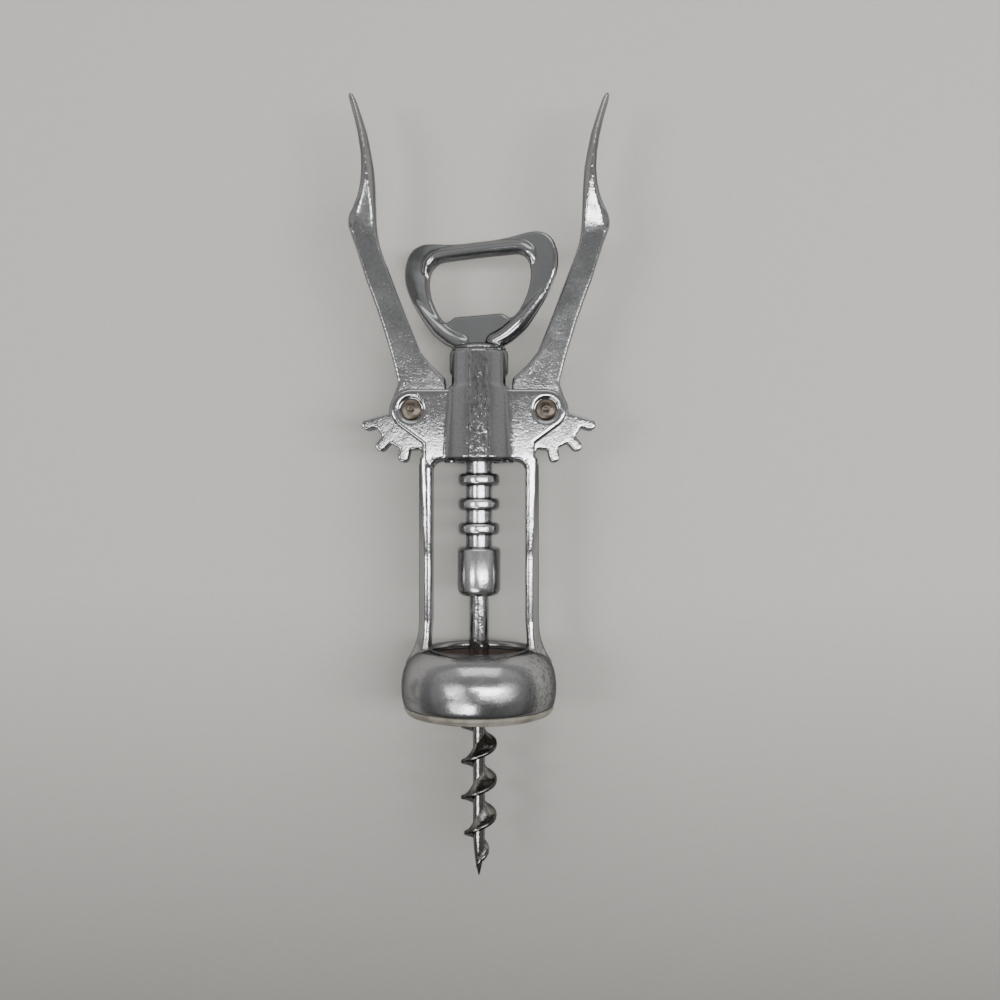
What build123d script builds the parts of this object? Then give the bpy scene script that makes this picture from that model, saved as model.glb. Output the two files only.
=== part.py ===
from build123d import *
import os
from math import asin, cos, degrees, pi, radians, sin

# Wing corkscrew with a bottle-opener handle. Lengths are in millimetres.
#
# The corkscrew lies on its back with its wings up and its handle down on the
# sleeve. +Y runs along the screw axis from the bell's mouth to the handle,
# +X points to the right wing and +Z out of the front. The origin is on the
# screw axis in the mouth of the bell, where the bottle's lip meets the ring.

# Screw and ring rack
shank_radius = 2.55
neck_radius = 3.45
ring_radius = 5.4
ring_width = 3.2
ring_pitch = 6.45
ring_count = 6
ring_edge = 0.6
collar_radius = 5.6
collar_length = 12.7
collar_end_round = 1.8

# Wing pinions
pitch_radius = 12.0
tooth_width = 2.75
tooth_count = 6
tip_gap = 0.25
root_depth = 1.8
first_tooth_angle = 8.5
pivot_height = 78.8

# Clearances
running_gap = 0.08
bore_gap = 0.1
side_gap = 0.25
sweep_gap = 0.35
seat_gap = 0.05

# Bell and bottle ring
bell_radius = 20.4
bell_widest_height = 6.4
bell_mouth_radius = 19.7
bell_shoulder_radius = 15.6
bell_top = 16.6
bell_opening_radius = 12.0
bell_cavity_radius = 17.5
ring_lip_height = 2.0
ring_spigot_height = 7.0
lip_radius = 15.0
lip_chamfer = 1.0

# Legs and head of the frame
leg_inner = 12.16
leg_outer = 15.8
leg_ridge_inner = 12.7
leg_ridge_outer = 13.9
leg_half_depth = 5.0
leg_flat_half_depth = 1.4
window_drop = 13.0
window_arch = 0.9
window_corner = 2.2
ear_radius = 5.4
plate_thickness = 2.6
plate_bevel = 0.7
tongue_half_width = 14.6
tongue_drop = 8.8
tongue_reach = 1.2

# Sleeve
sleeve_radius = 7.75
sleeve_rise = 15.9
sleeve_edge_round = 0.9
boss_half_width = 5.9
boss_top_radius = 8.3
boss_foot_radius = 9.9
boss_flare_half_width = 8.6
rib_half_width = 2.35
rib_height = 0.35
rib_top_margin = 2.2
rib_foot_margin = 2.9

# Wings
arm_thickness = 6.2
hub_radius = 6.0
elbow_out = 17.1
elbow_height = 49.4
elbow_width = 7.3
heel_reach = 8.7
heel_height = 7.4
tip_out = 16.9
tip_height = 83.3
pad_half_depth = 6.3
pad_tip_half_depth = 2.4

# Rivets
rivet_radius = 2.0
rivet_head_radius = 2.9
rivet_head_height = 0.9
rivet_dimple_radius = 0.6
rivet_dimple_depth = 0.25
rivet_recess_radius = 3.4
rivet_recess_depth = 0.4

# Worm
worm_core_radius = 1.55
worm_radius = 4.75
worm_pitch = 9.4
worm_tip = -43.3
worm_phase = -8.6
worm_point = 2.5
flange_sections = 8
worm_start = 4.0
worm_edge = 0.9
worm_root = 2.8
worm_full_end = -22.0

# Opener handle
handle_turn = 25.0
handle_half_width = 22.6
handle_web = 2.2
limb_radius = 2.3
bead_radius = 1.75
opening_half_width = 15.0
opening_height = 16.5
lifter_depth = 8.25
loop_band = 3.9
shoulder_radius = 7.2
shoulder_height = 1.0

# Worked-out sizes
pivot_offset = ring_radius + pitch_radius
window_top = pivot_height - window_drop
tongue_height = pivot_height - tongue_drop
tongue_end = window_top - tongue_reach
sleeve_top = pivot_height + sleeve_rise
rib_top = sleeve_top - rib_top_margin
rib_foot = tongue_end + rib_foot_margin
loop_foot = sleeve_top + seat_gap
opening_foot = loop_foot + lifter_depth
opening_top = opening_foot + opening_height
handle_top = opening_top + loop_band
tip_radius = pivot_offset - neck_radius - tip_gap
root_radius = pitch_radius - root_depth
tooth_step = degrees(ring_pitch / pitch_radius)
first_gap_height = pivot_height - pitch_radius * radians(first_tooth_angle)
last_gap_height = first_gap_height - (ring_count - 1) * ring_pitch
gap_width = ring_pitch - ring_width
collar_top = last_gap_height - gap_width / 2
rack_top = first_gap_height + ring_pitch + gap_width / 2
bore_radius = collar_radius + bore_gap
slot_half = arm_thickness / 2 + side_gap
plate_face = slot_half + plate_thickness
sweep_radius = tip_radius + sweep_gap
joint_overlap = 1.0
shank_bore = shank_radius + running_gap
collar_foot = collar_top - collar_length
journal_foot = rack_top + bore_gap
shank_top = sleeve_top

os.makedirs("parts", exist_ok=True)


def finish(part, node):
    """Name a finished sub-part and write its file."""
    part.label = node
    export_step(part, f"parts/{node}.step")


# ---------------------------------------------------------------- frame
# One zinc casting: the bell, two legs, the double-walled head that carries
# the wings between its plates, and the sleeve that guides the rack.

along_axis = Plane(origin=(0, 0, 0), x_dir=(1, 0, 0), z_dir=(0, 1, 0))

with BuildSketch(Plane.XY.offset(-plate_face)) as ear:
    # Right half of a plate: the ear round its rivet, down to the leg
    with Locations((pivot_offset, pivot_height)):
        Circle(ear_radius)
    Polygon(
        (0, pivot_height + ear_radius),
        (pivot_offset, pivot_height + ear_radius),
        (tongue_half_width, tongue_height),
        (0, tongue_height),
        align=None,
    )
    make_hull()

with BuildPart() as head:
    # Both plates at first as one block: the ears and the tongues above the legs
    with BuildSketch(Plane.XY.offset(-plate_face)):
        add(ear.sketch)
        mirror(ear.sketch, about=Plane.YZ)
        for side in (-1, 1):
            Polygon(
                (0, tongue_height),
                (side * tongue_half_width, tongue_height),
                (side * tongue_half_width, tongue_end + 1.6),
                (side * leg_ridge_outer, tongue_end),
                (0, tongue_end),
                align=None,
            )
    extrude(amount=2 * plate_face)
    chamfer(head.faces().sort_by(Axis.Z)[-1].edges(), plate_bevel)
    chamfer(head.faces().sort_by(Axis.Z)[0].edges(), plate_bevel)

with BuildPart() as boss:
    # Tapered barrel in front of and behind the sleeve, trimmed to its outline.
    with BuildSketch(Plane.XY):
        with BuildLine():
            Polyline(
                (0, tongue_end),
                (boss_foot_radius, tongue_end),
                (boss_top_radius, sleeve_top),
                (0, sleeve_top),
                close=True,
            )
        make_face()
    revolve(axis=Axis.Y)
    fillet(boss.edges().group_by(Axis.Y)[-1], sleeve_edge_round)
    with BuildSketch(Plane.XY.offset(-2 * boss_foot_radius)):
        Polygon(
            (-boss_flare_half_width, tongue_end),
            (boss_flare_half_width, tongue_end),
            (boss_flare_half_width, pivot_height + ear_radius - 1),
            (boss_half_width, pivot_height + ear_radius + 1),
            (boss_half_width, sleeve_top),
            (-boss_half_width, sleeve_top),
            (-boss_half_width, pivot_height + ear_radius + 1),
            (-boss_flare_half_width, pivot_height + ear_radius - 1),
            align=None,
        )
    extrude(amount=4 * boss_foot_radius, mode=Mode.INTERSECT)

with BuildPart() as rib:
    # Flat raised strip down the middle of the barrel, front and back.
    with BuildSketch(Plane.XY):
        with BuildLine():
            Polyline(
                (0, rib_foot),
                (boss_foot_radius + rib_height, rib_foot),
                (boss_top_radius + rib_height, rib_top),
                (0, rib_top),
                close=True,
            )
        make_face()
    revolve(axis=Axis.Y)
    with BuildSketch(Plane.XY.offset(-2 * boss_foot_radius)):
        with Locations((0, (rib_foot + rib_top) / 2)):
            Rectangle(2 * rib_half_width, rib_top - rib_foot)
    extrude(amount=4 * boss_foot_radius, mode=Mode.INTERSECT)

with BuildPart() as frame:
    # Bell
    with BuildSketch(Plane.XY):
        with BuildLine():
            rim = Line((bell_opening_radius, bell_top), (bell_shoulder_radius, bell_top))
            shoulder = ThreePointArc(
                rim @ 1,
                (bell_radius - 1.1, 0.75 * bell_top),
                (bell_radius, bell_widest_height),
            )
            flank = TangentArc(
                shoulder @ 1, (bell_mouth_radius, ring_lip_height), tangent=shoulder % 1
            )
            mouth = Line(flank @ 1, (bell_cavity_radius, ring_lip_height))
            seat = Line(mouth @ 1, (bell_cavity_radius, ring_spigot_height + 0.6))
            vault = ThreePointArc(
                seat @ 1,
                (bell_cavity_radius - 1.0, 0.72 * bell_top),
                (bell_opening_radius, bell_top - 1.8),
            )
            Line(vault @ 1, rim @ 0)
        make_face()
    revolve(axis=Axis.Y)

    # Legs, and the flares that carry them into the bell's shoulder
    leg_foot = bell_top - joint_overlap
    for side in (-1, 1):
        with BuildSketch(along_axis.offset(leg_foot)):
            Polygon(
                (side * leg_inner, -leg_half_depth + 1.2),
                (side * leg_ridge_inner, -leg_half_depth),
                (side * leg_ridge_outer, -leg_half_depth),
                (side * leg_outer, -leg_flat_half_depth),
                (side * leg_outer, leg_flat_half_depth),
                (side * leg_ridge_outer, leg_half_depth),
                (side * leg_ridge_inner, leg_half_depth),
                (side * leg_inner, leg_half_depth - 1.2),
                align=None,
            )
        extrude(amount=window_top + joint_overlap - leg_foot)
        with BuildSketch(Plane.XY.offset(-1.5 * leg_flat_half_depth)):
            with BuildLine():
                foot_flare = Spline(
                    (side * leg_outer, bell_top + 8),
                    (side * (leg_outer + 0.4), bell_top + 3),
                    (side * (bell_shoulder_radius + 2.3), bell_top - 1.3),
                    (side * (bell_radius - 1.2), 0.75 * bell_top),
                )
                Polyline(
                    foot_flare @ 1,
                    (side * (bell_cavity_radius + 0.4), 0.72 * bell_top),
                    (side * (bell_opening_radius + 1.5), bell_top - 0.6),
                    (side * (leg_inner + 1), bell_top + 8),
                    foot_flare @ 0,
                )
            make_face()
        extrude(amount=3 * leg_flat_half_depth)

    # Head, barrel and sleeve
    add(head.part)
    add(boss.part)
    add(rib.part)
    with BuildSketch(along_axis.offset(tongue_end)):
        Circle(sleeve_radius)
    extrude(amount=sleeve_top - tongue_end)

    # Window between the legs, with its arched top
    with BuildSketch(Plane.XY.offset(-2 * bell_radius)):
        with BuildLine():
            window_head = ThreePointArc(
                (-leg_inner, window_top - window_arch / 2),
                (0, window_top + window_arch),
                (leg_inner, window_top - window_arch / 2),
            )
            Polyline(
                window_head @ 1,
                (leg_inner, bell_top + joint_overlap),
                (-leg_inner, bell_top + joint_overlap),
                window_head @ 0,
            )
        make_face()
        fillet(vertices().group_by(Axis.Y)[-1], window_corner)
    extrude(amount=4 * bell_radius, mode=Mode.SUBTRACT)

    # Bore for the rack, and the round slots that the pinions turn in
    with BuildSketch(along_axis.offset(window_top - 5)):
        Circle(bore_radius)
    extrude(amount=sleeve_top, mode=Mode.SUBTRACT)
    with BuildSketch(Plane.XY.offset(-slot_half)):
        with Locations((-pivot_offset, pivot_height), (pivot_offset, pivot_height)):
            Circle(sweep_radius)
    extrude(amount=2 * slot_half, mode=Mode.SUBTRACT)

    # Rivet holes, sunk a little on both faces
    with BuildSketch(Plane.XY.offset(-plate_face)):
        with Locations((-pivot_offset, pivot_height), (pivot_offset, pivot_height)):
            Circle(rivet_radius + seat_gap)
    extrude(amount=2 * plate_face, mode=Mode.SUBTRACT)
    for recess_floor in (plate_face - rivet_recess_depth, -plate_face):
        with BuildSketch(Plane.XY.offset(recess_floor)):
            with Locations((-pivot_offset, pivot_height), (pivot_offset, pivot_height)):
                Circle(rivet_recess_radius)
        extrude(amount=rivet_recess_depth, mode=Mode.SUBTRACT)

finish(frame.part, "frame")

# ---------------------------------------------------------- bottle ring
# Nylon ring pressed into the bell's mouth: a lip that shows below the bell and
# a spigot inside it, bored to take the lip of a bottle.

with BuildPart() as bottle_ring:
    with BuildSketch(Plane.XY):
        Polygon(
            (lip_radius + lip_chamfer, 0),
            (bell_mouth_radius - 0.7, 0),
            (bell_mouth_radius - 0.1, ring_lip_height * 0.45),
            (bell_mouth_radius - 0.1, ring_lip_height),
            (bell_cavity_radius - seat_gap, ring_lip_height),
            (bell_cavity_radius - seat_gap, ring_spigot_height),
            (lip_radius, ring_spigot_height),
            (lip_radius, lip_chamfer),
            align=None,
        )
    revolve(axis=Axis.Y)

finish(bottle_ring.part, "bottle_ring")

# ---------------------------------------------------------------- wings
# Cast levers: a six-toothed pinion at the pivot, a flat arm and a thumb pad.
# Drawn as the right wing about its pivot; the left wing is its mirror image.

wing_plane = Plane(origin=(pivot_offset, pivot_height, 0))
first_tooth = 180 + first_tooth_angle
last_tooth = first_tooth + (tooth_count - 1) * tooth_step
tooth_reach = tip_radius - tooth_width / 2
pad_length = tip_height - elbow_height
far = 2 * tip_radius
far_flank = radians(last_tooth) + asin(tooth_width / 2 / root_radius)

with BuildPart() as pad:
    # Thumb pad: bowed in front view, and spread to both sides above the elbow
    with BuildSketch(wing_plane.offset(-pad_half_depth)):
        with BuildLine():
            hollow_edge = Spline(
                (elbow_out - 1.7, elbow_height - 6.2),
                (elbow_out, elbow_height),
                (tip_out - 3.1, elbow_height + 0.245 * pad_length),
                (tip_out - 3.55, elbow_height + 0.466 * pad_length),
                (tip_out, tip_height),
            )
            tip = ThreePointArc(
                hollow_edge @ 1,
                (tip_out - 0.6, tip_height + 0.4),
                (tip_out - 1.1, tip_height - 0.4),
            )
            bowed_edge = Spline(
                tip @ 1,
                (tip_out - 4.7, tip_height - 0.307 * pad_length),
                (elbow_out - elbow_width + 0.3, elbow_height + 0.378 * pad_length),
                (elbow_out - elbow_width, elbow_height + 3.0),
                (elbow_out - elbow_width - 1.2, elbow_height - 6.2),
            )
            Line(bowed_edge @ 1, hollow_edge @ 0)
        make_face()
    extrude(amount=2 * pad_half_depth)
    with BuildSketch(Plane.YZ.offset(pivot_offset - tip_radius)):
        with BuildLine():
            spread = Spline(
                (pivot_height + elbow_height - 8.0, arm_thickness / 2 - 0.2),
                (pivot_height + elbow_height, arm_thickness / 2),
                (pivot_height + elbow_height + 0.413 * pad_length, pad_half_depth - 0.1),
                (pivot_height + tip_height - 0.265 * pad_length, pad_half_depth - 1.4),
                (pivot_height + tip_height + 1.0, pad_tip_half_depth),
            )
            Polyline(
                spread @ 1,
                (pivot_height + tip_height + 1.0, 0),
                (pivot_height + elbow_height - 8.0, 0),
                spread @ 0,
            )
        make_face()
        mirror(about=Plane.XZ)
    extrude(amount=4 * tip_radius, mode=Mode.INTERSECT)

with BuildPart() as right_wing:
    with BuildSketch(wing_plane.offset(-arm_thickness / 2)) as lever:
        # Root sector from the heel round to the far side of the last tooth
        Circle(root_radius)
        Polygon(
            (0, 0),
            (far * cos(far_flank), far * sin(far_flank)),
            (0, -far),
            (-far, -far),
            (-far, far),
            (0, far),
            align=None,
            mode=Mode.INTERSECT,
        )
        with PolarLocations(
            tooth_reach / 2,
            tooth_count,
            start_angle=first_tooth,
            angular_range=last_tooth - first_tooth,
            endpoint=True,
        ):
            SlotCenterToCenter(tooth_reach, tooth_width)
        # Hub, then the arm: outer edge to the elbow, inner edge back to the heel
        Circle(hub_radius)
        with BuildLine():
            waist = ThreePointArc((hub_radius - 0.2, 1.0), (4.7, 4.6), (3.9, 8.3))
            outer_edge = Spline(
                waist @ 1,
                (0.5 * elbow_out, 0.49 * elbow_height),
                (0.71 * elbow_out, 0.69 * elbow_height),
                (elbow_out, elbow_height),
            )
            elbow = Line(outer_edge @ 1, (elbow_out - elbow_width, elbow_height + 3.0))
            inner_edge = Spline(
                elbow @ 1,
                (elbow_out - 1.12 * elbow_width, 0.9 * elbow_height),
                (0.71 * elbow_out - 1.21 * elbow_width, 0.59 * elbow_height),
                (-0.29 * elbow_width, 0.31 * elbow_height),
            )
            heel = ThreePointArc(inner_edge @ 1, (-4.8, 12.1), (-heel_reach, heel_height + 1.1))
            Polyline(heel @ 1, (-heel_reach, heel_height), (-heel_reach, 1.2), (0, 0), waist @ 0)
        make_face()
    extrude(amount=arm_thickness)
    add(pad.part)
    with BuildSketch(wing_plane.offset(-arm_thickness)):
        Circle(rivet_radius + running_gap)
    extrude(amount=2 * arm_thickness, mode=Mode.SUBTRACT)

with BuildPart() as left_wing:
    mirror(right_wing.part, about=Plane.YZ)

finish(right_wing.part, "right_wing")
finish(left_wing.part, "left_wing")

# --------------------------------------------------------------- rivets
# Steel rivets, one through each ear and wing, with a domed head on both faces.

seat_height = plate_face - rivet_recess_depth
head_top = seat_height + rivet_head_height

for side, node in ((-1, "left_rivet"), (1, "right_rivet")):
    with BuildPart() as rivet:
        with BuildSketch(Plane((side * pivot_offset, pivot_height, 0), (1, 0, 0), (0, -1, 0))):
            Polygon(
                (0, head_top - rivet_dimple_depth),
                (rivet_dimple_radius, head_top),
                (0.6 * rivet_head_radius, head_top - 0.1 * rivet_head_height),
                (0.88 * rivet_head_radius, head_top - 0.45 * rivet_head_height),
                (rivet_head_radius, seat_height + 0.2 * rivet_head_height),
                (rivet_head_radius, seat_height),
                (rivet_radius, seat_height),
                (rivet_radius, 0),
                (0, 0),
                align=None,
            )
        revolve(axis=Axis((side * pivot_offset, pivot_height, 0), (0, 0, 1)))
        mirror(about=Plane.XY)
    finish(rivet.part, node)

# ------------------------------------------------------------ ring rack
# Turned rack: six round teeth above a plain collar, bored for the screw's shank.

with BuildPart() as ring_rack:
    with BuildSketch(Plane.XY):
        with Locations(((shank_bore + neck_radius) / 2, (collar_foot + rack_top) / 2)):
            Rectangle(neck_radius - shank_bore, rack_top - collar_foot)
        with Locations(((shank_bore + collar_radius) / 2, (collar_foot + collar_top) / 2)):
            Rectangle(collar_radius - shank_bore, collar_length)
        fillet(vertices().group_by(Axis.X)[-1].sort_by(Axis.Y)[0], collar_end_round)
        chamfer(vertices().group_by(Axis.X)[-1].sort_by(Axis.Y)[-1], collar_end_round / 3)
        for ring in range(ring_count):
            ring_height = first_gap_height + ring_pitch / 2 - ring * ring_pitch
            Polygon(
                (shank_bore, ring_height - ring_width / 2),
                (ring_radius - ring_edge, ring_height - ring_width / 2),
                (ring_radius, ring_height - ring_width / 2 + ring_edge),
                (ring_radius, ring_height + ring_width / 2 - ring_edge),
                (ring_radius - ring_edge, ring_height + ring_width / 2),
                (shank_bore, ring_height + ring_width / 2),
                align=None,
            )
    revolve(axis=Axis.Y)

finish(ring_rack.part, "ring_rack")

# ----------------------------------------------------------------- worm
# Steel screw: a shank pressed into the handle, a pointed core and a
# right-handed flange that fades out at both ends.

flange_end = worm_tip + worm_point
flange_count = round((worm_start - flange_end) / worm_pitch * flange_sections)
flange_step = (worm_start - flange_end) / flange_count

with BuildPart() as flange:
    # Blade lofted through radial sections, thick at the core, thin at its edge
    for k in range(flange_count + 1):
        height = flange_end + k * flange_step
        turn = radians(360 * (height - worm_phase) / worm_pitch)
        low_fade = min(1, (height - flange_end) / (worm_full_end - flange_end))
        high_fade = min(1, (worm_start - height) / (worm_pitch / 2))
        blade = min(sin(low_fade * pi / 2), sin(high_fade * pi / 2))
        reach = worm_core_radius + 0.15 + (worm_radius - worm_core_radius - 0.15) * blade
        inner = worm_core_radius * min(0.6, 0.25 + 0.6 * low_fade)
        root = worm_root * min(1, 0.35 + low_fade)
        section = Plane((0, height, 0), (cos(turn), 0, -sin(turn)), (sin(turn), 0, cos(turn)))
        with BuildSketch(section):
            Polygon(
                (inner, -root / 2),
                (reach, -worm_edge / 2),
                (reach, worm_edge / 2),
                (inner, root / 2),
                align=None,
            )
    loft()

with BuildPart() as worm:
    with BuildSketch(Plane.XY):
        Polygon(
            (0, shank_top),
            (shank_radius, shank_top),
            (shank_radius, worm_start + 4.0),
            (worm_core_radius, worm_start + 1.0),
            (worm_core_radius, worm_tip + 9.0),
            (0.75 * worm_core_radius, worm_tip + 4.0),
            (0.15, worm_tip),
            (0, worm_tip),
            align=None,
        )
    revolve(axis=Axis.Y)
    add(flange.part)

finish(worm.part, "worm")

# -------------------------------------------------------- opener handle
# Cast loop with a cap lifter in its opening, on a journal that slides in the
# sleeve. The loop is drawn in its own plane, turned about the screw axis.

turned = radians(handle_turn)
loop_plane = Plane((0, 0, 0), (cos(turned), 0, sin(turned)), (-sin(turned), 0, cos(turned)))
limb_line = handle_half_width - limb_radius
bead_line = opening_half_width + 0.8 * bead_radius
bead_height = opening_top + 0.85 * bead_radius

with BuildPart() as opener_handle:
    # Flat web of the loop
    with BuildSketch(loop_plane.offset(-handle_web / 2)):
        with BuildLine():
            outside = Spline(
                (0, handle_top),
                (0.4 * handle_half_width, handle_top + 0.2),
                (0.72 * handle_half_width, handle_top + 1.0),
                (0.92 * handle_half_width, handle_top - 1.4),
                (0.98 * handle_half_width, handle_top - 6.4),
                (0.92 * handle_half_width, handle_top - 12.4),
                (0.71 * handle_half_width, handle_top - 20.2),
                (shoulder_radius + 1.0, loop_foot + 1.6),
                (shoulder_radius - 0.6, loop_foot + shoulder_height / 2),
                tangents=((1, 0), (-1, -1)),
            )
            Polyline(outside @ 1, (0, loop_foot + shoulder_height / 2), outside @ 0)
        make_face()
        mirror(about=Plane.YZ)
    extrude(amount=handle_web)

    # Rounded ridges up the outer edge of both limbs
    for side in (-1, 1):
        with BuildLine(loop_plane) as limb:
            limb_foot = ThreePointArc(
                (side * 0.2 * limb_line, loop_foot + limb_radius + 0.2),
                (side * 0.47 * limb_line, loop_foot + limb_radius + 2.0),
                (side * 0.74 * limb_line, loop_foot + limb_radius + 7.6),
            )
            limb_side = TangentArc(
                limb_foot @ 1, (side * limb_line, opening_top - 2.0), tangent=limb_foot % 1
            )
        with BuildSketch(Plane(limb_foot @ 0, z_dir=limb_foot % 0)):
            Circle(limb_radius)
        sweep(path=limb.wires()[0])
        with Locations(limb_side @ 1):
            Sphere(limb_radius)

    # Polished bead round the top of the opening
    with BuildLine(loop_plane):
        bead = FilletPolyline(
            (-bead_line, opening_top - 3.2),
            (-bead_line, bead_height),
            (bead_line, bead_height),
            (bead_line, opening_top - 3.2),
            radius=4.2,
        )
    with BuildSketch(Plane(bead @ 0, z_dir=bead % 0)):
        Circle(bead_radius)
    sweep(path=bead)
    for end in (bead @ 0, bead @ 1):
        with Locations(end):
            Sphere(bead_radius)

    # Opening, with the cap lifter's lip and the notch at each end of it
    with BuildSketch(loop_plane.offset(-2 * limb_radius)):
        with BuildLine():
            opening = Spline(
                (0, opening_top),
                (0.7 * opening_half_width, opening_top - 0.4),
                (0.955 * opening_half_width, opening_top - 2.6),
                (opening_half_width, opening_top - 5.7),
                (0.935 * opening_half_width, opening_top - 10.7),
                (0.8 * opening_half_width, opening_foot + 1.7),
                (0.62 * opening_half_width, opening_foot),
                (0.44 * opening_half_width, opening_foot + 1.1),
                tangents=((1, 0), (-1, 1)),
            )
            Polyline(opening @ 1, (0, opening_foot + 1.1), opening @ 0)
        make_face()
        mirror(about=Plane.YZ)
    extrude(amount=4 * limb_radius, mode=Mode.SUBTRACT)

    # Shoulder on the sleeve, journal inside it, and the bore for the shank
    with BuildSketch(Plane.XY):
        Polygon(
            (0, journal_foot),
            (collar_radius, journal_foot),
            (collar_radius, loop_foot),
            (shoulder_radius, loop_foot),
            (shoulder_radius, loop_foot + shoulder_height),
            (shoulder_radius - 1.6, loop_foot + 2.2 * shoulder_height),
            (0, loop_foot + 2.2 * shoulder_height),
            align=None,
        )
    revolve(axis=Axis.Y)
    with BuildSketch(along_axis.offset(journal_foot)):
        Circle(shank_radius + seat_gap)
    extrude(amount=shank_top - journal_foot, mode=Mode.SUBTRACT)

finish(opener_handle.part, "opener_handle")
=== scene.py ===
from math import cos, pi, radians, sin

import bmesh
import bpy
from mathutils import Matrix, Vector


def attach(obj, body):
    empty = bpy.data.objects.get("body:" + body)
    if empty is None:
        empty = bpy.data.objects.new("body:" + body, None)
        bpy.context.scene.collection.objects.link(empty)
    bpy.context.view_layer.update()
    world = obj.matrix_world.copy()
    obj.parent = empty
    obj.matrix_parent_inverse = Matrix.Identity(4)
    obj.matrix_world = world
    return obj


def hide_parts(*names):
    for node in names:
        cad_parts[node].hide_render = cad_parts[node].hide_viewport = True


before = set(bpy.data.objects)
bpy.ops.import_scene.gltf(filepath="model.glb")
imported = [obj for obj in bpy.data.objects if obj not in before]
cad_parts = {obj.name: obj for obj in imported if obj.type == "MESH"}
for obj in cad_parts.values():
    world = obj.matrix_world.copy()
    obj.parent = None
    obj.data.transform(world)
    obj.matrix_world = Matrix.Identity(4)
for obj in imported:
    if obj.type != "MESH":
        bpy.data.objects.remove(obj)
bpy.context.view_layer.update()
scene = bpy.context.scene

# ---------------------------------------------------------------- studio
# Pale matt board that the tool lies on. The tool touches it with its bell, so
# the board's face is just under the bell's widest radius.

BELL_RADIUS = 0.0204
BOARD_FACE = -BELL_RADIUS - 0.0002
BOARD_HALF = 0.9


def placed(name, data):
    """New object in the scene."""
    made = bpy.data.objects.new(name, data)
    scene.collection.objects.link(made)
    return made


class Recipe:
    """Nodes of one finish or one form, joined up as they are added."""

    def __init__(self, tree, where="Object"):
        self.tree = tree
        self.shader = tree.nodes.get("Principled BSDF")
        if where:
            self.places = self.add("ShaderNodeTexCoord").outputs[where]

    def feed(self, socket, value):
        """Join another node's output to the socket, or give it a fixed value."""
        if isinstance(value, bpy.types.NodeSocket):
            self.tree.links.new(value, socket)
        else:
            socket.default_value = value

    def add(self, kind, sockets=(), **options):
        """New node, with its options set and its sockets fed."""
        made = self.tree.nodes.new(kind)
        for option, value in options.items():
            setattr(made, option, value)
        for socket, value in dict(sockets).items():
            self.feed(made.inputs[socket], value)
        return made

    def make(self, kind, sockets=(), **options):
        """First output of a new node."""
        return self.add(kind, sockets, **options).outputs[0]

    def coat(self, socket, value):
        """Feed one of the finish's own sockets."""
        self.feed(self.shader.inputs[socket], value)

    def math(self, kind, first, second=0.0, **options):
        """Two values worked into one."""
        return self.make("ShaderNodeMath", {0: first, 1: second}, operation=kind, **options)

    def axes(self, place):
        """The X, Y and Z of a place."""
        return self.add("ShaderNodeSeparateXYZ", {0: place}).outputs

    def ramp(self, source, start, end, first, second, kind="LINEAR"):
        """A value that goes from first to second as the source goes from start to end."""
        ends = {"From Min": start, "From Max": end, "To Min": first, "To Max": second}
        return self.make("ShaderNodeMapRange", {"Value": source, **ends}, interpolation_type=kind)

    def noise(self, scale, detail, rough=0.5, squash=1.0):
        """Cloudy value, drawn out along the screw where squash is small."""
        place = self.places
        if squash != 1.0:
            stretch = {0: place, 1: (1, squash, 1)}
            place = self.make("ShaderNodeVectorMath", stretch, operation="MULTIPLY")
        sizes = {"Scale": scale, "Detail": detail, "Roughness": rough}
        return self.make("ShaderNodeTexNoise", {"Vector": place, **sizes})

    def bands(self, source, stops, kind="LINEAR"):
        """Colour picked by the source from stops, each a position and a colour."""
        made = self.add("ShaderNodeValToRGB", {0: source})
        made.color_ramp.interpolation = kind
        marks = made.color_ramp.elements
        for place, colour in stops[1:-1]:
            marks.new(place).color = (*colour, 1)
        for mark, (place, colour) in ((marks[0], stops[0]), (marks[-1], stops[-1])):
            mark.position = place
            mark.color = (*colour, 1)
        return made.outputs[0]


def new_finish(name, values):
    """New material with some of its sockets set, and its nodes."""
    material = bpy.data.materials.new(name)
    material.use_nodes = True
    finish = Recipe(material.node_tree)
    for socket, value in values.items():
        finish.coat(socket, value)
    return material, finish


board_mesh = bpy.data.meshes.new("board")
corners = [(-1, -1), (1, -1), (1, 1), (-1, 1)]
board_mesh.from_pydata(
    [(x * BOARD_HALF, y * BOARD_HALF, BOARD_FACE) for x, y in corners], [], [(0, 1, 2, 3)]
)
board = placed("board", board_mesh)
board_paint, paint = new_finish("board_paint", {"Roughness": 0.85, "Specular IOR Level": 0.2})
speckled = paint.bands(
    paint.noise(700.0, 3.0), [(0.0, (0.6, 0.587, 0.555)), (1.0, (0.64, 0.626, 0.592))]
)
# Painted shadow: the board's colour is darkened towards the near edge, where less light falls on
# it.
near_shadow = paint.ramp(paint.axes(paint.places)["Y"], -0.125, 0.03, 0.34, 1.0)
shadowed_board = {0: speckled, "Scale": near_shadow}
paint.coat("Base Color", paint.make("ShaderNodeVectorMath", shadowed_board, operation="SCALE"))
board_mesh.materials.append(board_paint)

# Soft light comes from beyond the handle, with a smaller glint of it for the
# rounded edges. A row of three panels straight above, with a gap in its near side,
# is what the flat faces near the middle pick up; a fourth one nearer by only gives
# the worm its streaks.
WARM_WHITE = (1.0, 0.99, 0.97)
PANEL_WHITE = (1.0, 1.0, 0.99)
PANEL_HEIGHT = 0.6
PANEL_GLOW = 44.0
NEAR_PANEL_GLOW = 26.0


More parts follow.
